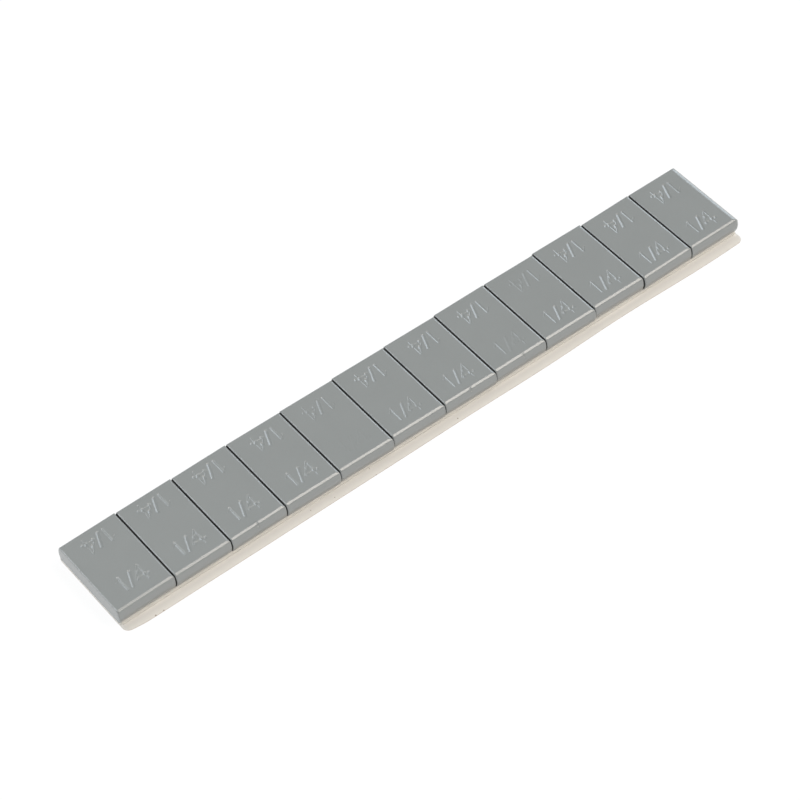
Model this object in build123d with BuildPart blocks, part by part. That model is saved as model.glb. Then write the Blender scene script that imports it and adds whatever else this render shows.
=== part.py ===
"""Stick-on wheel balance weight: a strip of coated steel weights on a foam tape with a paper liner."""

import os

from build123d import *

# Row of weights, lengths in millimetres
strip_length = 152.61
weight_count = 12
weight_gap = 0.15
end_allowance = 0.18

# One steel weight, a quarter of an ounce, cut off a flat bar with rounded sides
weight_width = 19.9
weight_thickness = 3.75
side_bulge = 0.6
long_edge_radius = 0.75
rolled_edge_radius = 0.85
cut_edge_radius = 0.3
press_depth = 0.005
underside_bevel = 0.3
upright_bevel = 0.25

# The strip's right end, which is rounded more than the weights' other ends
end_roll_radius = 1.4
end_upright_radius = 0.9

# Each weight's seat on the tape: a small step sideways, towards the back
side_steps = (0.10, 0.05, 0.0, -0.10, -0.10, 0.0, -0.05, 0.10, 0.0, 0.20, -0.05, -0.05)

# Foam tape under the weights, a little shorter and narrower than their row
tape_thickness = 0.99
tape_side_inset = 0.65
tape_left_inset = 0.4
tape_right_inset = 0.1
tape_corner_radius = 0.5

# Paper liner under the tape, with a margin along both sides
liner_thickness = 0.12
liner_side_margin = 2.05
liner_end_inset = 0.15
liner_corner_radius = 1.4

# Sizes that follow
row_length = strip_length - 2 * end_allowance
weight_length = (row_length - (weight_count - 1) * weight_gap) / weight_count
weight_pitch = weight_length + weight_gap
tape_length = strip_length - tape_left_inset - tape_right_inset
tape_width = weight_width - 2 * tape_side_inset
liner_length = strip_length - 2 * liner_end_inset
liner_width = weight_width + 2 * liner_side_margin
bar_top = weight_thickness + press_depth
side_middle = weight_width / 2
side_edge = side_middle - side_bulge
first_weight_x = -(weight_count - 1) * weight_pitch / 2

# The origin is under the middle of the strip
tape_middle_x = (tape_left_inset - tape_right_inset) / 2
tape_base = liner_thickness
weight_base = tape_base + tape_thickness

os.makedirs("parts", exist_ok=True)

# The weights, the outermost two a little longer, each made about its own middle and put in its seat
for index in range(weight_count):
    name = f"weight_{index + 1:02d}"
    is_last = index == weight_count - 1
    left_end = -weight_length / 2
    right_end = weight_length / 2
    right_edge_radius = rolled_edge_radius
    if index == 0:
        left_end -= end_allowance
    if is_last:
        right_end += end_allowance
        right_edge_radius = end_roll_radius

    with BuildPart() as weight:
        # A length of the bar, with sides that swell outwards and broken upright edges
        with BuildSketch(Plane.YZ.offset(left_end)) as bar_section:
            with BuildLine():
                Line((-side_edge, bar_top), (side_edge, bar_top))
                ThreePointArc((side_edge, bar_top), (side_middle, bar_top / 2), (side_edge, 0))
                Line((side_edge, 0), (-side_edge, 0))
                ThreePointArc((-side_edge, 0), (-side_middle, bar_top / 2), (-side_edge, bar_top))
            make_face()
        extrude(amount=right_end - left_end)
        chamfer(weight.edges().filter_by(GeomType.CIRCLE).group_by(Axis.X)[0], upright_bevel)
        right_uprights = weight.edges().filter_by(GeomType.CIRCLE).group_by(Axis.X)[-1]
        if is_last:
            fillet(right_uprights, end_upright_radius)
        else:
            chamfer(right_uprights, upright_bevel)

        # The same section with its long edges rounded on top and bevelled underneath
        with BuildSketch(Plane.YZ) as rounded_section:
            add(bar_section.sketch_local)
            chamfer(rounded_section.vertices().group_by(Axis.Y)[0], underside_bevel)
            fillet(rounded_section.vertices().group_by(Axis.Y)[-1], long_edge_radius)
        extrude(amount=weight_length, both=True, mode=Mode.INTERSECT)

        # Seen from the front: the top pressed flat, its right edge rolled over and its left edge cut square
        with BuildSketch(Plane.XZ) as front_profile:
            with Locations(((left_end + right_end) / 2, weight_thickness / 2)):
                Rectangle(right_end - left_end, weight_thickness)
            chamfer(front_profile.vertices().group_by(Axis.Y)[0], underside_bevel)
            fillet(front_profile.vertices().group_by(Axis.Y)[-1].sort_by(Axis.X)[-1], right_edge_radius)
            fillet(front_profile.vertices().group_by(Axis.Y)[-1].sort_by(Axis.X)[0], cut_edge_radius)
        extrude(amount=weight_width, both=True, mode=Mode.INTERSECT)

    side_step = side_steps[index % len(side_steps)]
    seat = Location((first_weight_x + index * weight_pitch, side_step, weight_base))
    placed_weight = weight.part.moved(seat)
    placed_weight.label = name
    export_step(placed_weight, f"parts/{name}.step")

# Foam tape, one length under all the weights
with BuildPart() as foam_tape:
    with BuildSketch(Plane((tape_middle_x, 0, tape_base))):
        RectangleRounded(tape_length, tape_width, tape_corner_radius)
    extrude(amount=tape_thickness)
foam_tape.part.label = "foam_tape"
export_step(foam_tape.part, "parts/foam_tape.step")

# Paper liner
with BuildPart() as release_liner:
    with BuildSketch():
        RectangleRounded(liner_length, liner_width, liner_corner_radius)
    extrude(amount=liner_thickness)
release_liner.part.label = "release_liner"
export_step(release_liner.part, "parts/release_liner.step")
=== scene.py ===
"""Stick-on wheel balance weight: coated steel weights on a foam tape with a paper liner, on a pale floor."""

import math

import bmesh
import bpy
from bpy.props import FloatProperty, FloatVectorProperty, IntProperty, PointerProperty
from mathutils import Matrix, Vector, noise


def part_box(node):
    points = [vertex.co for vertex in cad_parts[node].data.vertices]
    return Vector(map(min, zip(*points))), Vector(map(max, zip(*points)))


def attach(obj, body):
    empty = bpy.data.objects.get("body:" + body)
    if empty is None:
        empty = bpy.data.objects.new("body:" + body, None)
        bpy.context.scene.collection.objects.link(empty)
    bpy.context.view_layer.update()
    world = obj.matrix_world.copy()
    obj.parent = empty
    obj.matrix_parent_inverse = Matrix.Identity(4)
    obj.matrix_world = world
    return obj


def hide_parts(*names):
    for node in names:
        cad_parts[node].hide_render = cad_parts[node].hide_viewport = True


bl_info = {
    "name": "Wheel balance weight",
    "version": (1, 0, 0),
    "blender": (4, 5, 0),
    "location": "View3D > Sidebar > Balance weight",
    "description": "Builds a stick-on strip of stamped steel weights and its studio stage",
    "category": "Object",
}

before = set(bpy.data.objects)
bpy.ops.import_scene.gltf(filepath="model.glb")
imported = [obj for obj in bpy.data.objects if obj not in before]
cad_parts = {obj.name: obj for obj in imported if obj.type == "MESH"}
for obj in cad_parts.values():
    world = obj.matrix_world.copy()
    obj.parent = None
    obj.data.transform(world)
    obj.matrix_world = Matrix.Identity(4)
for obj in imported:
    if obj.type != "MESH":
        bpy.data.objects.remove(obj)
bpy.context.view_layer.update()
MILLIMETRE = 0.001

WEIGHT_NODES = sorted(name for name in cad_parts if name.startswith("weight_"))
TAPE_NODE = "foam_tape"
LINER_NODE = "release_liner"

# The strip's directions
ALONG = Vector((1.0, 0.0, 0.0))
ACROSS = Vector((0.0, 1.0, 0.0))
UP = Vector((0.0, 0.0, 1.0))

# How near a cut passes to a vertex that it uses, and how near two places count as the same, in metres
CUT_TOLERANCE = 1e-8
PLACE_TOLERANCE = 1e-7

# Narrow band beside a weight's rounded edges, which keeps the flats' shading flat
SHADING_BAND = 0.03 * MILLIMETRE

# The stamped quarter's strokes about its own middle: both ends, width and depth in millimetres
QUARTER_STROKES = (
    ((-2.12, 1.75), (-2.12, -1.7), 0.56, 0.13),
    ((-2.12, 1.75), (-2.95, 0.95), 0.36, 0.09),
    ((0.3, 1.6), (-0.95, -1.65), 0.76, 0.14),
    ((2.3, 1.95), (0.35, -0.75), 0.36, 0.1),
    ((0.35, -0.75), (2.95, -0.75), 0.22, 0.05),
    ((2.35, 1.95), (2.35, -2.0), 0.36, 0.08),
    ((1.55, 0.75), (1.4, 0.3), 0.75, 0.14),
    ((0.7, -0.65), (0.6, -0.95), 0.7, 0.13),
    ((2.35, -0.4), (2.2, -0.85), 0.75, 0.14),
    ((3.05, -0.75), (2.98, -0.95), 0.6, 0.11),
)

# How steeply a stroke's walls rise: past 1, the groove has a narrow flat floor
STROKE_STEEPNESS = 1.1

# Each weight's two stamps: step along, step across in millimetres, and depth as a share of a full strike
FRONT_STAMPS = (
    (0.19, 0.00, 1.0), (0.10, -0.10, 1.0), (0.00, 0.05, 1.0), (0.45, -0.30, 0.9),
    (0.05, -0.50, 0.2), (-0.20, -0.55, 0.7), (0.20, -0.55, 0.75), (0.35, -0.60, 0.4),
    (0.30, -0.55, 0.9), (-0.20, -0.60, 0.7), (-0.25, -0.70, 0.9), (-0.19, -0.50, 1.0),
)
BACK_STAMPS = (
    (0.19, 0.00, 1.0), (0.10, 0.00, 1.0), (0.00, 0.00, 1.0), (0.50, -0.40, 1.0),
    (-0.10, -0.75, 0.7), (0.00, -0.75, 0.9), (0.50, -0.75, 0.9), (0.15, -0.95, 0.9),
    (0.60, -0.95, 0.4), (-0.10, -0.85, 0.9), (0.10, -0.95, 0.9), (-0.09, -0.85, 1.0),
)

# Nicks in the front top edge: the weight's index and the place along it in millimetres
EDGE_NICKS = ((2, -0.2), (6, 0.0), (7, 0.73))

# A nick's cuts across the edge and the dent at its middle, in nick sizes
NICK_CUTS = (-1.3, -1.0, 0.0, 1.0, 1.3)
NICK_DENT = Vector((0.0, 0.5, -0.5))

# Brown specks on the liner: places and breadths in millimetres
LINER_SPECKS = (
    (-69.7, -11.44, 0.4), (-67.92, -11.46, 0.35), (-18.53, -11.61, 0.35), (-7.19, -9.26, 0.35),
    (2.1, -10.75, 0.35), (-33.24, -10.36, 0.25), (-27.88, -10.81, 0.25), (-18.57, -9.5, 0.25),
)

# How far each weight's long sides lean off the strip's line, in degrees
SIDE_SLANTS = (0.63, 0.22, 0.34, -0.58, -0.76, -0.79, -0.79, -0.08, -0.55, -0.59, 0.69, -0.12)

# Mesh of the tape and the liner: cells along them, levels of the tape's sides and strips round a corner
TAPE_CELL = 0.4 * MILLIMETRE
TAPE_LEVELS = 4
LINER_CELL = 1.5 * MILLIMETRE
LINER_LEVELS = 1
CORNER_SEGMENTS = 8

# Dents in the tape's sides: grain, mean depth and spread as shares, and how near a straight side begins
DENT_GRAIN = 0.5 * MILLIMETRE
DENT_MEAN = 0.7
DENT_SPREAD = 0.3
STRAIGHT_SIDE = 0.01 * MILLIMETRE

# Sway of the liner's cut edges: the stretch where it grows, a crest and a wave's length, in millimetres
SWAY_STRETCH = (-20.0, 50.0)
SWAY_CREST = 43.0
SWAY_LENGTH = 46.0

# The liner's left end: the stretch where its corners draw in, by how much, and where it is shortened
CORNER_STRETCH = (-71.0, -76.0)
CORNER_INSET = 0.4 * MILLIMETRE
LEFT_STRETCH = (-73.0, -76.0)

# Lamps: name, direction from the strip, distance, breadth and height in metres, watts, colour, way up
LAMPS = (
    ("key_lamp", (0.42, -0.488, 0.765), 1.4, (0.55, 1.75), 12.9, (1.0, 0.935, 0.861), (0.0, 0.846, 0.533)),
    ("back_lamp", (0.86, 0.38, 0.34), 0.9, (0.4, 0.6), 1.9, (0.77, 0.885, 1.0), UP),
    ("left_lamp", (-0.85, -0.05, 0.52), 1.0, (0.7, 0.7), 0.8, (0.932, 0.966, 1.0), UP),
    ("glint_lamp", (-0.75, 0.51, 0.40), 0.9, (0.25, 0.35), 1.0, (0.932, 0.966, 1.0), UP),
    ("high_lamp", (-0.50, 0.15, 0.85), 0.55, (0.45, 0.45), 1.0, (0.95, 0.98, 1.0), UP),
)

# The room's light
ROOM_COLOUR = (0.9, 0.98, 1.0, 1.0)
ROOM_STRENGTH = 0.28
WHITE = (1.0, 1.0, 1.0, 1.0)

# The floor's drop below the liner, its glow and shaded grey for the eye, and its grey for other light
FLOOR_DROP = 0.02 * MILLIMETRE
FLOOR_GLOW = 0.89
FLOOR_SHADOW = 0.14
FLOOR_PLAIN = 0.75

# The nearest and the farthest that the camera sees, in metres
CAMERA_REACH = (0.01, 20.0)


class BalanceWeightSettings(bpy.types.PropertyGroup):
    """Sizes and finish of the stamped steel weights."""

    side_bulge: FloatProperty(
        name="Side bulge",
        description="How far the long sides swell out at half height",
        default=0.6 * MILLIMETRE,
        min=0.0,
        precision=5,
        unit="LENGTH",
    )
    long_edge_radius: FloatProperty(
        name="Long edge radius",
        description="Rounding of the top edges along the strip",
        default=0.75 * MILLIMETRE,
        min=0.0,
        precision=5,
        unit="LENGTH",
    )
    rolled_edge_radius: FloatProperty(
        name="Rolled edge radius",
        description="Rounding of the top edge at the right end of each weight",
        default=0.7 * MILLIMETRE,
        min=0.0,
        precision=5,
        unit="LENGTH",
    )
    cut_edge_radius: FloatProperty(
        name="Cut edge radius",
        description="Rounding of the top edge at the left end of each weight",
        default=0.3 * MILLIMETRE,
        min=0.0,
        precision=5,
        unit="LENGTH",
    )
    underside_radius: FloatProperty(
        name="Underside rounding",
        description="Rounding of the lower edges",
        default=0.3 * MILLIMETRE,
        min=0.0,
        precision=5,
        unit="LENGTH",
    )
    corner_radius: FloatProperty(
        name="Corner radius",
        description="Rounding of the upright edges",
        default=0.25 * MILLIMETRE,
        min=0.0,
        precision=5,
        unit="LENGTH",
    )
    end_roll_radius: FloatProperty(
        name="End roll radius",
        description="Rounding of the top edge at the strip's right end",
        default=1.4 * MILLIMETRE,
        min=0.0,
        precision=5,
        unit="LENGTH",
    )
    end_corner_radius: FloatProperty(
        name="End corner radius",
        description="Rounding of the upright edges at the strip's right end",
        default=0.9 * MILLIMETRE,
        min=0.0,
        precision=5,
        unit="LENGTH",
    )
    edge_segments: IntProperty(
        name="Edge segments", description="Strips across each rounded edge", default=8, min=2
    )
    stamp_margin: FloatProperty(
        name="Stamp margin",
        description="Breadth of the finely divided area round the strokes' centre lines",
        default=0.48 * MILLIMETRE,
        min=0.0,
        precision=5,
        unit="LENGTH",
    )
    stamp_cell: FloatProperty(
        name="Stamp cell",
        description="Mesh size in the two stamped areas",
        default=0.06 * MILLIMETRE,
        min=0.00001,
        precision=5,
        unit="LENGTH",
    )
    nick_size: FloatProperty(
        name="Nick size",
        description="Half the length of a nick in the front edges, and about its depth",
        default=0.2 * MILLIMETRE,
        min=0.0,
        precision=5,
        unit="LENGTH",
    )
    front_row: FloatProperty(
        name="Front row",
        description="Distance of the front figures' middle from the weight's middle",
        default=-5.0 * MILLIMETRE,
        precision=5,
        unit="LENGTH",
    )
    back_row: FloatProperty(
        name="Back row",
        description="Distance of the back figures' middle from the weight's middle",
        default=6.05 * MILLIMETRE,
        precision=5,
        unit="LENGTH",
    )
    coating: FloatVectorProperty(
        name="Coating",
        description="Colour of the grey coating",
        default=(0.296, 0.306, 0.303),
        size=3,
        min=0.0,
        max=1.0,
        subtype="COLOR",
    )


class FoamTapeSettings(bpy.types.PropertyGroup):
    """Sizes and finish of the foam tape."""

    corner_radius: FloatProperty(
        name="Corner radius",
        description="Rounding of the tape's upright corners",
        default=0.5 * MILLIMETRE,
        min=0.0,
        precision=5,
        unit="LENGTH",
    )
    side_roughness: FloatProperty(
        name="Side roughness",
        description="How far the cut cells dent the tape's sides",
        default=0.1 * MILLIMETRE,
        min=0.0,
        precision=5,
        unit="LENGTH",
    )
    foam: FloatVectorProperty(
        name="Foam",
        description="Colour of the foam",
        default=(0.90, 0.86, 0.80),
        size=3,
        min=0.0,
        max=1.0,
        subtype="COLOR",
    )


class LinerSettings(bpy.types.PropertyGroup):
    """Sizes and finish of the paper liner."""

    corner_radius: FloatProperty(
        name="Corner radius",
        description="Rounding of the liner's corners",
        default=1.4 * MILLIMETRE,
        min=0.0,
        precision=5,
        unit="LENGTH",
    )
    edge_inset: FloatProperty(
        name="Edge inset",
        description="How far the cut edges lie inside the full width",
        default=0.42 * MILLIMETRE,
        min=0.0,
        precision=5,
        unit="LENGTH",
    )
    edge_wave: FloatProperty(
        name="Edge wave",
        description="How far the cut edges sway towards the right end",
        default=0.2 * MILLIMETRE,
        min=0.0,
        precision=5,
        unit="LENGTH",
    )
    left_inset: FloatProperty(
        name="Left inset",
        description="How much shorter the left end is cut",
        default=0.12 * MILLIMETRE,
        min=0.0,
        precision=5,
        unit="LENGTH",
    )
    paper: FloatVectorProperty(
        name="Paper",
        description="Colour of the coated paper",
        default=(0.827, 0.783, 0.727),
        size=3,
        min=0.0,
        max=1.0,
        subtype="COLOR",
    )
    speck: FloatVectorProperty(
        name="Speck",
        description="Colour of the paper's specks",
        default=(0.30, 0.22, 0.155),
        size=3,
        min=0.0,
        max=1.0,
        subtype="COLOR",
    )


class StageSettings(bpy.types.PropertyGroup):
    """Floor, light and camera."""

    floor_size: FloatProperty(
        name="Floor size", description="Side of the square floor", default=6.0, min=0.1, unit="LENGTH"
    )
    camera_place: FloatVectorProperty(
        name="Camera place",
        description="Where the camera stands",
        default=(-0.212535, -0.280016, 0.419088),
        size=3,
        precision=5,
        subtype="XYZ",
        unit="LENGTH",
    )
    camera_aim: FloatVectorProperty(
        name="Camera aim",
        description="The point in the middle of the picture",
        default=(-0.005965, -0.003244, 0.004924),
        size=3,
        precision=5,
        subtype="XYZ",
        unit="LENGTH",
    )
    camera_roll: FloatProperty(
        name="Camera roll",
        description="Turn of the camera about its line of sight",
        default=math.radians(-2.4015),
        subtype="ANGLE",
    )
    camera_lens: FloatProperty(
        name="Lens", description="Focal length in millimetres", default=126.817, min=1.0
    )


def opaque(colour, share=1.0):
    """A colour with its alpha, made lighter or darker by a share."""
    return (colour[0] * share, colour[1] * share, colour[2] * share, 1.0)


class Signal:
    """A node's output that adds Math nodes when it is used in an expression."""

    def __init__(self, finish, socket):
        self.finish = finish
        self.socket = socket

    def math(self, operation, first, second=0.0):
        return self.finish.node("ShaderNodeMath", {"operation": operation}, {0: first, 1: second})

    def __add__(self, other):
        return self.math("ADD", self, other)

    __radd__ = __add__

    def __sub__(self, other):
        return self.math("SUBTRACT", self, other)

    def __rsub__(self, other):
        return self.math("SUBTRACT", other, self)

    def __mul__(self, other):
        return self.math("MULTIPLY", self, other)

    __rmul__ = __mul__

    def __abs__(self):
        return self.math("ABSOLUTE", self)


class Finish:
    """A node tree under construction, for a material or the world."""

    def __init__(self, owner):
        owner.use_nodes = True
        self.owner = owner
        self.tree = owner.node_tree
        self.tree.nodes.clear()

    def node(self, kind, settings=None, inputs=None, output=0):
        """Adds one node: its settings first, then the values or links of its sockets."""
        item = self.tree.nodes.new(kind)
        for key, value in (settings or {}).items():
            setattr(item, key, value)
        for key, value in (inputs or {}).items():
            if isinstance(value, Signal):
                self.tree.links.new(value.socket, item.inputs[key])
            else:
                item.inputs[key].default_value = value
        return Signal(self, item.outputs[output]) if item.outputs else None

    def place(self):
        return self.node("ShaderNodeTexCoord", output="Object")

    def part(self, vector, axis):
        return self.node("ShaderNodeSeparateXYZ", inputs={0: vector}, output=axis)

    def grain(self, vector, size, detail=2.0):
        """Soft noise from 0 to 1 whose patches are about that many metres across."""
        inputs = {"Vector": vector, "Scale": 1.0 / size, "Detail": detail}
        return self.node("ShaderNodeTexNoise", inputs=inputs)

    def step(self, value, low, high):
        """Goes smoothly from 0 at low to 1 at high."""
        inputs = {"Value": value, "From Min": low, "From Max": high, "To Min": 0.0, "To Max": 1.0}
        return self.node("ShaderNodeMapRange", {"interpolation_type": "SMOOTHSTEP"}, inputs)

    def mix(self, share, first, second):
        """Blends two colours."""
        inputs = {0: share, 6: first, 7: second}
        return self.node("ShaderNodeMix", {"data_type": "RGBA"}, inputs, output=2)

    def shades(self, share, colour, dark, light):
        """Blends a darker and a lighter shade of one colour, each given as a share of it."""
        return self.mix(share, opaque(colour, dark), opaque(colour, light))

    def bump(self, height, distance):
        return self.node("ShaderNodeBump", inputs={"Height": height, "Distance": distance})

    def surface(self, **inputs):
        """The one shader that is shown, with its sockets given by name, underscores for spaces."""
        named = {key.replace("_", " "): value for key, value in inputs.items()}
        shader = self.node("ShaderNodeBsdfPrincipled", inputs=named)
        self.show(shader)
        return self.owner

    def show(self, shader):
        owner_kind = "World" if isinstance(self.owner, bpy.types.World) else "Material"
        self.node(f"ShaderNodeOutput{owner_kind}", inputs={"Surface": shader})


def coated_steel(settings):
    """Satin grey coating with a faint ripple, and painted shade on the weights' ends where they meet."""
    finish = Finish(bpy.data.materials.new("grey_coating"))
    place = finish.place()
    cloud = finish.grain(place, 6.0 * MILLIMETRE)
    speckle = finish.grain(place, 0.25 * MILLIMETRE, detail=1.0)
    ripple = finish.grain(place, 0.45 * MILLIMETRE, detail=1.0)
    coating = finish.shades(cloud * 0.6 + speckle * 0.4, settings.coating, 0.95, 1.05)

    # Painted shade darkens the coating round each gap in place of the shadow between the weights; the gaps
    # lie whole pitches from the middle, and the strip's two ends, near the next pitch, stay bright
    first, second = (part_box(name) for name in WEIGHT_NODES[1:3])
    pitch = second[0].x - first[0].x
    half_gap = (second[0].x - first[1].x) / 2
    fade = 0.04 * MILLIMETRE
    strip_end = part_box(WEIGHT_NODES[-1])[1].x
    along = finish.part(place, "X")
    from_gap = finish.node("ShaderNodeMath", {"operation": "PINGPONG"}, {0: along, 1: pitch / 2})
    at_end = finish.step(abs(along), strip_end - pitch / 2, strip_end - pitch / 4)
    gap_shade = (1.0 - finish.step(from_gap, half_gap, half_gap + fade)) * (1.0 - at_end)
    return finish.surface(
        # Painted shade: within the gaps the coating is 0.12 of its grey, and rougher
        Base_Color=finish.mix(gap_shade, coating, opaque(settings.coating, 0.12)),
        IOR=1.8,
        Roughness=0.15 + speckle * 0.05 + gap_shade * 0.6,
        Normal=finish.bump(ripple, 0.004 * MILLIMETRE),
    )


def tape_foam(settings):
    """Pale closed-cell foam, with painted shade darkening it towards the weights above and painted light
    paling it towards the liner.
    """
    finish = Finish(bpy.data.materials.new("pale_foam"))
    place = finish.place()
    cells = finish.grain(place, 0.12 * MILLIMETRE, detail=3.0)
    cloud = finish.grain(place, 2.0 * MILLIMETRE)
    shade = cells * 0.5 + cloud * 0.5
    # Painted light at the foam's base by the liner, painted shade at its top under the weights
    foam_painted_light = finish.shades(shade, settings.foam, 1.02, 1.10)
    foam_painted_shade = finish.shades(shade, settings.foam, 0.82, 0.92)
    low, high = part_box(TAPE_NODE)
    height = finish.step(finish.part(place, "Z"), low.z, high.z)
    return finish.surface(
        Base_Color=finish.mix(height, foam_painted_light, foam_painted_shade),
        Roughness=0.85,
        Normal=finish.bump(cells, 0.05 * MILLIMETRE),
    )


def liner_paper(settings):
    """Coated cream paper with brown specks and a brown cut edge, and painted light making it paler by the
    foam and along its edges.
    """
    finish = Finish(bpy.data.materials.new("liner_paper"))
    place = finish.place()
    fibres = finish.grain(place, 0.2 * MILLIMETRE, detail=4.0)
    cloud = finish.grain(place, 5.0 * MILLIMETRE)
    shade = fibres * 0.4 + cloud * 0.6
    # Painted light: the paper is paler beside the foam and towards its outer edges, offsetting the strip's
    # shade
    painted_light_by_foam = finish.shades(shade, settings.paper, 1.10, 1.18)
    between = finish.shades(shade, settings.paper, 0.96, 1.04)
    painted_light_by_edge = finish.shades(shade, settings.paper, 1.02, 1.11)

    foam_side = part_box(TAPE_NODE)[1].y
    halfway = foam_side + 0.9 * MILLIMETRE
    across = abs(finish.part(place, "Y"))
    clear_of_foam = finish.step(across, foam_side + 0.1 * MILLIMETRE, halfway)
    near_edge = finish.step(across, halfway, foam_side + 2.1 * MILLIMETRE)
    colour = finish.mix(clear_of_foam, painted_light_by_foam, between)
    colour = finish.mix(near_edge, colour, painted_light_by_edge)

    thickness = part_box(LINER_NODE)[1].z
    above_cut = finish.step(finish.part(place, "Z"), 0.8 * thickness, 0.98 * thickness)
    colour = finish.mix(above_cut, opaque(settings.speck, 1.8), colour)
    for speck_x, speck_y, breadth in LINER_SPECKS:
        spot = (speck_x * MILLIMETRE, speck_y * MILLIMETRE, thickness)
        sockets = {0: place, 1: spot}
        distance = finish.node("ShaderNodeVectorMath", {"operation": "DISTANCE"}, sockets, output="Value")
        bare = finish.step(distance, 0.2 * breadth * MILLIMETRE, 0.5 * breadth * MILLIMETRE)
        colour = finish.mix(bare, opaque(settings.speck), colour)
    return finish.surface(
        Base_Color=colour, Roughness=0.6, Normal=finish.bump(fibres, 0.006 * MILLIMETRE)
    )


def smooth(low, high, value):
    """Goes smoothly from 0 at low to 1 at high."""
    share = min(1.0, max(0.0, (value - low) / (high - low)))
    return share * share * (3.0 - 2.0 * share)


def finish_piece(mesh, name, node, material):
    """Turns a bmesh into a smooth piece that stands for a solid and rides on the strip."""
    data = bpy.data.meshes.new(name)
    bmesh.ops.recalc_face_normals(mesh, faces=mesh.faces)
    for face in mesh.faces:
        face.smooth = True
    mesh.to_mesh(data)
    mesh.free()
    data.materials.append(material)
    piece = bpy.data.objects.new(name, data)
    bpy.context.scene.collection.objects.link(piece)
    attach(piece, "root")
    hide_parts(node)
    return piece


def block(size):
    """A box of that size, standing on its underside about the upright axis."""
    mesh = bmesh.new()
    bmesh.ops.create_cube(mesh, size=1.0)
    bmesh.ops.scale(mesh, vec=size, verts=mesh.verts)
    bmesh.ops.translate(mesh, vec=(0.0, 0.0, size.z / 2), verts=mesh.verts)
    return mesh


def is_upright(edge):
    first, second = edge.verts
    return abs(first.co.z - second.co.z) > PLACE_TOLERANCE


def round_uprights(mesh, radius):
    """Rounds a box's four upright edges."""
    bmesh.ops.bevel(
        mesh,
        geom=[edge for edge in mesh.edges if is_upright(edge)],
        offset=radius,
        offset_type="OFFSET",
        segments=CORNER_SEGMENTS,
        profile=0.5,
        affect="EDGES",
        clamp_overlap=True,
        material=-1,
    )


def slice_off(mesh, point, normal):
    """Cuts away what lies beyond a plane and closes the cut."""
    geometry = [*mesh.verts, *mesh.edges, *mesh.faces]
    cut = bmesh.ops.bisect_plane(
        mesh, geom=geometry, dist=CUT_TOLERANCE, plane_co=point, plane_no=normal, clear_outer=True
    )
    rim = [item for item in cut["geom_cut"] if isinstance(item, bmesh.types.BMEdge)]
    if rim:
        bmesh.ops.contextual_create(mesh, geom=rim)


def divide(mesh, point, normal):
    """Cuts all faces along a plane without taking anything away."""
    geometry = [*mesh.verts, *mesh.edges, *mesh.faces]
    bmesh.ops.bisect_plane(mesh, geom=geometry, dist=CUT_TOLERANCE, plane_co=point, plane_no=normal)


def round_off(mesh, corner, first, second, radius, strips):
    """Rounds the edge through a corner point, between two outward directions, with narrow flats."""
    centre = corner - (first + second) * radius
    for index in range(strips):
        angle = math.pi / 2 * (index + 0.5) / strips
        normal = first * math.sin(angle) + second * math.cos(angle)
        slice_off(mesh, centre + normal * radius, normal)


def cut_patch(mesh, face, low, high):
    """Cuts a rectangle out of a level face and gives the face inside it."""
    walls = ((low, -ALONG), (high, ALONG), (low, -ACROSS), (high, ACROSS))
    for corner, outward in walls:
        geometry = [face, *face.edges, *face.verts]
        point = Vector((*corner, 0.0))
        cut = bmesh.ops.bisect_plane(
            mesh, geom=geometry, dist=CUT_TOLERANCE, plane_co=point, plane_no=outward
        )
        faces = [item for item in cut["geom"] if isinstance(item, bmesh.types.BMFace)]
        face = min(faces, key=lambda item: (item.calc_center_median() - point).dot(outward))
    return face


def is_within(vert, low, high):
    """Whether a vertex lies in a rectangle, seen from above."""
    return all(
        low[axis] - PLACE_TOLERANCE < vert.co[axis] < high[axis] + PLACE_TOLERANCE for axis in (0, 1)
    )


def divide_patch(mesh, level, low, high, cell):
    """Divides a rectangle at that level into small cells and gives the vertices inside it."""
    for axis in (0, 1):
        lines = []
        for edge in mesh.edges:
            start, end = edge.verts
            is_level = all(abs(vert.co.z - level) < PLACE_TOLERANCE for vert in edge.verts)
            is_inside = all(is_within(vert, low, high) for vert in edge.verts)
            is_along = abs(start.co[1 - axis] - end.co[1 - axis]) < PLACE_TOLERANCE
            if is_level and is_inside and is_along:
                lines.append(edge)
        cells = max(1, round((high[axis] - low[axis]) / cell))
        bmesh.ops.subdivide_edges(mesh, edges=lines, cuts=cells - 1, use_grid_fill=True)
    return [
        vert
        for vert in mesh.verts
        if is_within(vert, low, high) and abs(vert.co.z - level) < PLACE_TOLERANCE
    ]


def stroke_distance(point, start, end):
    """Distance of a point from a stroke's centre line."""
    along = end - start
    share = min(1.0, max(0.0, (point - start).dot(along) / along.length_squared))
    return (point - start - along * share).length


def stamp(mesh, face, middle, turned, share, settings):
    """Presses the quarter into the top face about a middle point, turned round for the back row."""
    side = -1.0 if turned else 1.0
    strokes = []
    for start, end, width, depth in QUARTER_STROKES:
        first, second = (Vector(middle) + side * MILLIMETRE * Vector(point) for point in (start, end))
        strokes.append((first, second, width / 2 * MILLIMETRE, share * depth * MILLIMETRE))
    ends = [end for stroke in strokes for end in stroke[:2]]
    low = [min(end[axis] for end in ends) - settings.stamp_margin for axis in (0, 1)]
    high = [max(end[axis] for end in ends) + settings.stamp_margin for axis in (0, 1)]
    patch = cut_patch(mesh, face, low, high)
    top = patch.verts[0].co.z
    for vert in divide_patch(mesh, top, low, high, settings.stamp_cell):
        depths = []
        for first, second, half_width, depth in strokes:
            inward = 1.0 - stroke_distance(vert.co.xy, first, second) / half_width
            depths.append(depth * min(1.0, max(0.0, STROKE_STEEPNESS * inward)))
        vert.co.z -= max(depths)


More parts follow.
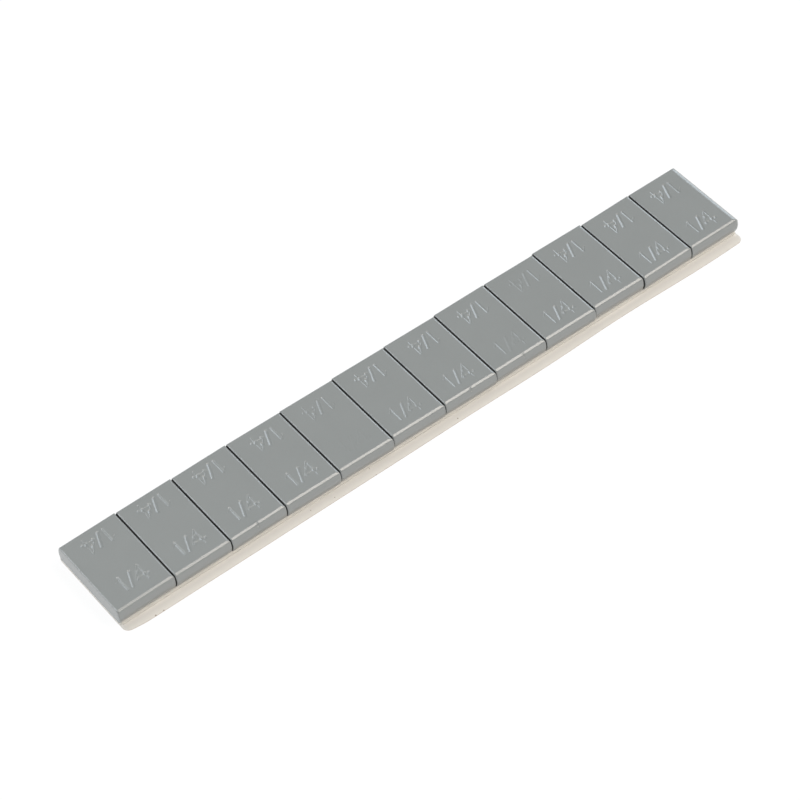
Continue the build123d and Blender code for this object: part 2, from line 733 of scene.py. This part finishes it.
def flank_slices(size, settings):
    """A long side's slices from the top down, as outward directions and points, and the top's reach."""
    half = size.z / 2
    bulge = settings.side_bulge
    swell = (half * half + bulge * bulge) / (2 * bulge)
    middle = Vector((size.y / 2 - swell, half))
    outline = []
    limits = []
    for side, radius in ((1.0, settings.long_edge_radius), (-1.0, settings.underside_radius)):
        rise = half - radius
        reach = math.sqrt((swell - radius) ** 2 - rise * rise)
        limits.append((math.atan2(side * rise, reach), middle + Vector((reach, side * rise)), radius))
    (upper, upper_middle, upper_radius), (lower, lower_middle, lower_radius) = limits
    arcs = (
        (math.pi / 2, upper, upper_middle, upper_radius, settings.edge_segments),
        (upper, lower, middle, swell, settings.edge_segments),
        (lower, -math.pi / 2, lower_middle, lower_radius, settings.edge_segments // 2),
    )
    for start, end, centre, radius, strips in arcs:
        for index in range(strips):
            angle = start + (end - start) * (index + 0.5) / strips
            outward = Vector((math.cos(angle), math.sin(angle)))
            outline.append((outward, centre + outward * radius))
    return outline, upper_middle.x


def rounded_weight(size, is_last, settings):
    """A plain weight about the upright axis with swelling sides and all its edges rounded."""
    mesh = block(size)
    outline, level_reach = flank_slices(size, settings)
    left = (-1.0, settings.cut_edge_radius, settings.corner_radius)
    right = (1.0, settings.rolled_edge_radius, settings.corner_radius)
    if is_last:
        right = (1.0, settings.end_roll_radius, settings.end_corner_radius)
    flanks = [
        (Vector((0.0, side * outward.x, outward.y)), Vector((0.0, side * point.x, point.y)))
        for side in (-1.0, 1.0)
        for outward, point in outline
    ]
    for outward, point in flanks:
        slice_off(mesh, point, outward)
    for end, top_radius, upright_radius in (left, right):
        endward = end * ALONG
        corner = endward * size.x / 2
        round_off(mesh, corner + UP * size.z, endward, UP, top_radius, settings.edge_segments)
        round_off(mesh, corner, endward, -UP, settings.underside_radius, settings.edge_segments // 2)
        for outward, point in flanks:
            round_off(mesh, corner + point, endward, outward, upright_radius, settings.edge_segments // 2)
    for end, top_radius, upright_radius in (left, right):
        for depth in (top_radius, upright_radius):
            divide(mesh, ALONG * end * (size.x / 2 - depth - SHADING_BAND), ALONG)
        divide(mesh, ACROSS * end * (level_reach - SHADING_BAND), ACROSS)
        divide(mesh, UP * (size.z - top_radius - SHADING_BAND), UP)
    divide(mesh, UP * (settings.underside_radius + SHADING_BAND), UP)
    return mesh


def nick(mesh, along, size, settings):
    """Dents the front top edge at one place along it."""
    edge = -flank_slices(size, settings)[1]
    breadth = settings.nick_size
    for step in NICK_CUTS:
        faces = [face for face in mesh.faces if face.calc_center_median().y < edge]
        geometry = dict.fromkeys(item for face in faces for item in (face, *face.edges, *face.verts))
        point = ALONG * (along + step * breadth)
        bmesh.ops.bisect_plane(
            mesh, geom=list(geometry), dist=CUT_TOLERANCE, plane_co=point, plane_no=ALONG
        )
    for vert in mesh.verts:
        is_on_edge = vert.co.y < edge and vert.co.z > size.z - settings.long_edge_radius
        if is_on_edge and abs(vert.co.x - along) < PLACE_TOLERANCE:
            vert.co += NICK_DENT * breadth


def weight_mesh(index, settings):
    """One stamped weight in its place."""
    low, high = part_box(WEIGHT_NODES[index])
    size = high - low
    is_last = index == len(WEIGHT_NODES) - 1
    mesh = rounded_weight(size, is_last, settings)
    height = size.z - PLACE_TOLERANCE
    level = [face for face in mesh.faces if all(vert.co.z > height for vert in face.verts)]
    top = max(level, key=lambda item: item.calc_area())
    geometry = [top, *top.edges, *top.verts]
    halves = bmesh.ops.bisect_plane(
        mesh, geom=geometry, dist=CUT_TOLERANCE, plane_co=(0.0, 0.0, 0.0), plane_no=ACROSS
    )
    faces = [item for item in halves["geom"] if isinstance(item, bmesh.types.BMFace)]
    front, back = sorted(faces, key=lambda item: item.calc_center_median().y)
    rows = (
        (front, FRONT_STAMPS, settings.front_row, False),
        (back, BACK_STAMPS, settings.back_row, True),
    )
    for face, stamps, row, turned in rows:
        along, across, share = stamps[index]
        middle = (along * MILLIMETRE, row + across * MILLIMETRE)
        stamp(mesh, face, middle, turned, share, settings)
    for place, along in EDGE_NICKS:
        if place == index:
            nick(mesh, along * MILLIMETRE, size, settings)
    lean = Matrix.Identity(4)
    lean[1][0] = math.tan(math.radians(SIDE_SLANTS[index]))
    bmesh.ops.transform(mesh, matrix=lean, verts=mesh.verts)
    seat = Vector(((low.x + high.x) / 2, (low.y + high.y) / 2, low.z))
    bmesh.ops.translate(mesh, vec=seat, verts=mesh.verts)
    return mesh


class OBJECT_OT_balance_weights(bpy.types.Operator):
    """Build the row of stamped and coated steel weights"""

    bl_idname = "object.balance_weights"
    bl_label = "Balance weights"

    def execute(self, context):
        settings = context.scene.balance_weight
        material = coated_steel(settings)
        for index, node in enumerate(WEIGHT_NODES):
            mesh = weight_mesh(index, settings)
            finish_piece(mesh, f"stamped_{node}", node, material)
        return {"FINISHED"}


def strip_mesh(node, radius, cell, levels):
    """A flat strip with rounded corners in a solid's place, divided along its length and its height."""
    low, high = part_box(node)
    size = high - low
    mesh = block(size)
    round_uprights(mesh, radius)
    seat = Vector(((low.x + high.x) / 2, (low.y + high.y) / 2, low.z))
    bmesh.ops.translate(mesh, vec=seat, verts=mesh.verts)
    for step in range(int((size.x - 2 * radius) / cell) + 1):
        divide(mesh, ALONG * (low.x + radius + cell * step), ALONG)
    for step in range(1, levels):
        divide(mesh, UP * (low.z + size.z * step / levels), UP)
    return mesh


def dent_sides(mesh, settings):
    """Dents the foam's cut sides between its two level faces."""
    low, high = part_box(TAPE_NODE)
    middle = (low + high) / 2
    for vert in mesh.verts:
        if low.z + PLACE_TOLERANCE < vert.co.z < high.z - PLACE_TOLERANCE:
            dent = DENT_MEAN + DENT_SPREAD * noise.noise(vert.co / DENT_GRAIN)
            inward = Vector((middle.x - vert.co.x, middle.y - vert.co.y, 0.0))
            if abs(inward.y) > high.y - middle.y - STRAIGHT_SIDE:
                inward.x = 0.0
            elif abs(inward.x) > high.x - middle.x - STRAIGHT_SIDE:
                inward.y = 0.0
            vert.co += inward.normalized() * settings.side_roughness * dent


class OBJECT_OT_foam_tape(bpy.types.Operator):
    """Build the foam tape under the weights"""

    bl_idname = "object.foam_tape"
    bl_label = "Foam tape"

    def execute(self, context):
        settings = context.scene.foam_tape
        mesh = strip_mesh(TAPE_NODE, settings.corner_radius, TAPE_CELL, TAPE_LEVELS)
        dent_sides(mesh, settings)
        piece = finish_piece(mesh, "foam_strip", TAPE_NODE, tape_foam(settings))
        return {"FINISHED"}


def trim_edges(mesh, settings):
    """Draws in the liner's cut edges, which sway towards the right end, and its left end and corners."""
    low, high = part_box(LINER_NODE)
    reach = (high.y - low.y) / 2
    for vert in mesh.verts:
        along = vert.co.x / MILLIMETRE
        wave = math.cos(math.tau * (along - SWAY_CREST) / SWAY_LENGTH)
        sway = settings.edge_wave * smooth(*SWAY_STRETCH, along) * wave
        corner = CORNER_INSET * smooth(*CORNER_STRETCH, along)
        vert.co.y *= 1.0 - (settings.edge_inset + sway + corner) / reach
        vert.co.x += settings.left_inset * smooth(*LEFT_STRETCH, along)


class OBJECT_OT_release_liner(bpy.types.Operator):
    """Build the paper liner under the tape"""

    bl_idname = "object.release_liner"
    bl_label = "Release liner"

    def execute(self, context):
        settings = context.scene.release_liner
        mesh = strip_mesh(LINER_NODE, settings.corner_radius, LINER_CELL, LINER_LEVELS)
        trim_edges(mesh, settings)
        finish_piece(mesh, "paper_liner", LINER_NODE, liner_paper(settings))
        return {"FINISHED"}


def grey(level):
    return (level, level, level, 1.0)


def floor_finish():
    """White for the eye and for reflections, keeping the strip's shadow, and grey for other light."""
    finish = Finish(bpy.data.materials.new("white_floor"))
    rays = ("Is Camera Ray", "Is Glossy Ray", "Is Transmission Ray")
    camera, glossy, through = (finish.node("ShaderNodeLightPath", output=name) for name in rays)
    glow = finish.node("ShaderNodeEmission", inputs={"Color": WHITE, "Strength": FLOOR_GLOW})
    shadow = finish.node("ShaderNodeBsdfDiffuse", inputs={"Color": grey(FLOOR_SHADOW)})
    shown = finish.node("ShaderNodeAddShader", inputs={0: glow, 1: shadow})
    plain = finish.node("ShaderNodeBsdfDiffuse", inputs={"Color": grey(FLOOR_PLAIN)})
    seen = camera + glossy + through
    finish.show(finish.node("ShaderNodeMixShader", inputs={0: seen, 1: plain, 2: shown}))
    return finish.owner


def lay_floor(size):
    mesh = bmesh.new()
    bmesh.ops.create_grid(mesh, x_segments=1, y_segments=1, size=size / 2)
    bmesh.ops.translate(mesh, vec=-UP * FLOOR_DROP, verts=mesh.verts)
    data = bpy.data.meshes.new("floor")
    mesh.to_mesh(data)
    mesh.free()
    data.materials.append(floor_finish())
    floor = bpy.data.objects.new("floor", data)
    bpy.context.scene.collection.objects.link(floor)


def light_room():
    """An even, faintly blue room for the light, and plain white for the eye."""
    world = bpy.data.worlds.new("white_room")
    finish = Finish(world)
    room = finish.node("ShaderNodeBackground", inputs={"Color": ROOM_COLOUR, "Strength": ROOM_STRENGTH})
    white = finish.node("ShaderNodeBackground", inputs={"Color": WHITE, "Strength": 1.0})
    seen = finish.node("ShaderNodeLightPath", output="Is Camera Ray")
    finish.show(finish.node("ShaderNodeMixShader", inputs={0: seen, 1: room, 2: white}))
    bpy.context.scene.world = world


def soft_box(name, direction, distance, size, power, colour, way_up):
    """A rectangular lamp that faces the strip from that direction, with its height along the way up."""
    data = bpy.data.lights.new(name, "AREA")
    data.shape = "RECTANGLE"
    data.size, data.size_y = size
    data.energy = power
    data.color = colour
    back = Vector(direction).normalized()
    side = Vector(way_up).cross(back).normalized()
    lamp = bpy.data.objects.new(name, data)
    lamp.location = back * distance
    lamp.rotation_euler = Matrix((side, back.cross(side), back)).transposed().to_euler()
    bpy.context.scene.collection.objects.link(lamp)


def stand_camera(settings):
    data = bpy.data.cameras.new("camera")
    data.lens = settings.camera_lens
    data.clip_start, data.clip_end = CAMERA_REACH
    camera = bpy.data.objects.new("camera", data)
    place = Vector(settings.camera_place)
    sight = Vector(settings.camera_aim) - place
    roll = Matrix.Rotation(settings.camera_roll, 3, "Z")
    turn = sight.to_track_quat("-Z", "Y").to_matrix() @ roll
    camera.location = place
    camera.rotation_euler = turn.to_euler()
    bpy.context.scene.collection.objects.link(camera)
    bpy.context.scene.camera = camera


class OBJECT_OT_weight_stage(bpy.types.Operator):
    """Set the floor, the light and the camera"""

    bl_idname = "object.weight_stage"
    bl_label = "Stage"

    def execute(self, context):
        settings = context.scene.weight_stage
        lay_floor(settings.floor_size)
        light_room()
        for lamp in LAMPS:
            soft_box(*lamp)
        stand_camera(settings)
        context.scene.view_settings.view_transform = "Standard"
        return {"FINISHED"}


class VIEW3D_PT_balance_weight(bpy.types.Panel):
    """Lists the pieces of the strip and its stage"""

    bl_label = "Balance weight"
    bl_idname = "VIEW3D_PT_balance_weight"
    bl_space_type = "VIEW_3D"
    bl_region_type = "UI"
    bl_category = "Balance weight"

    def draw(self, context):
        for group, operator in BUILD_STEPS:
            box = self.layout.box()
            settings = getattr(context.scene, group)
            for name in settings.__annotations__:
                box.prop(settings, name)
            box.operator(operator.bl_idname)


SETTINGS = {
    "balance_weight": BalanceWeightSettings,
    "foam_tape": FoamTapeSettings,
    "release_liner": LinerSettings,
    "weight_stage": StageSettings,
}
BUILD_STEPS = (
    ("weight_stage", OBJECT_OT_weight_stage),
    ("release_liner", OBJECT_OT_release_liner),
    ("foam_tape", OBJECT_OT_foam_tape),
    ("balance_weight", OBJECT_OT_balance_weights),
)


def register():
    for name, group in SETTINGS.items():
        bpy.utils.register_class(group)
        setattr(bpy.types.Scene, name, PointerProperty(type=group))
    for _, operator in BUILD_STEPS:
        bpy.utils.register_class(operator)
    bpy.utils.register_class(VIEW3D_PT_balance_weight)


def unregister():
    bpy.utils.unregister_class(VIEW3D_PT_balance_weight)
    for _, operator in BUILD_STEPS:
        bpy.utils.unregister_class(operator)
    for name, group in SETTINGS.items():
        delattr(bpy.types.Scene, name)
        bpy.utils.unregister_class(group)


def main():
    register()
    bpy.ops.object.weight_stage()
    bpy.ops.object.release_liner()
    bpy.ops.object.foam_tape()
    bpy.ops.object.balance_weights()


if __name__ == "__main__":
    main()
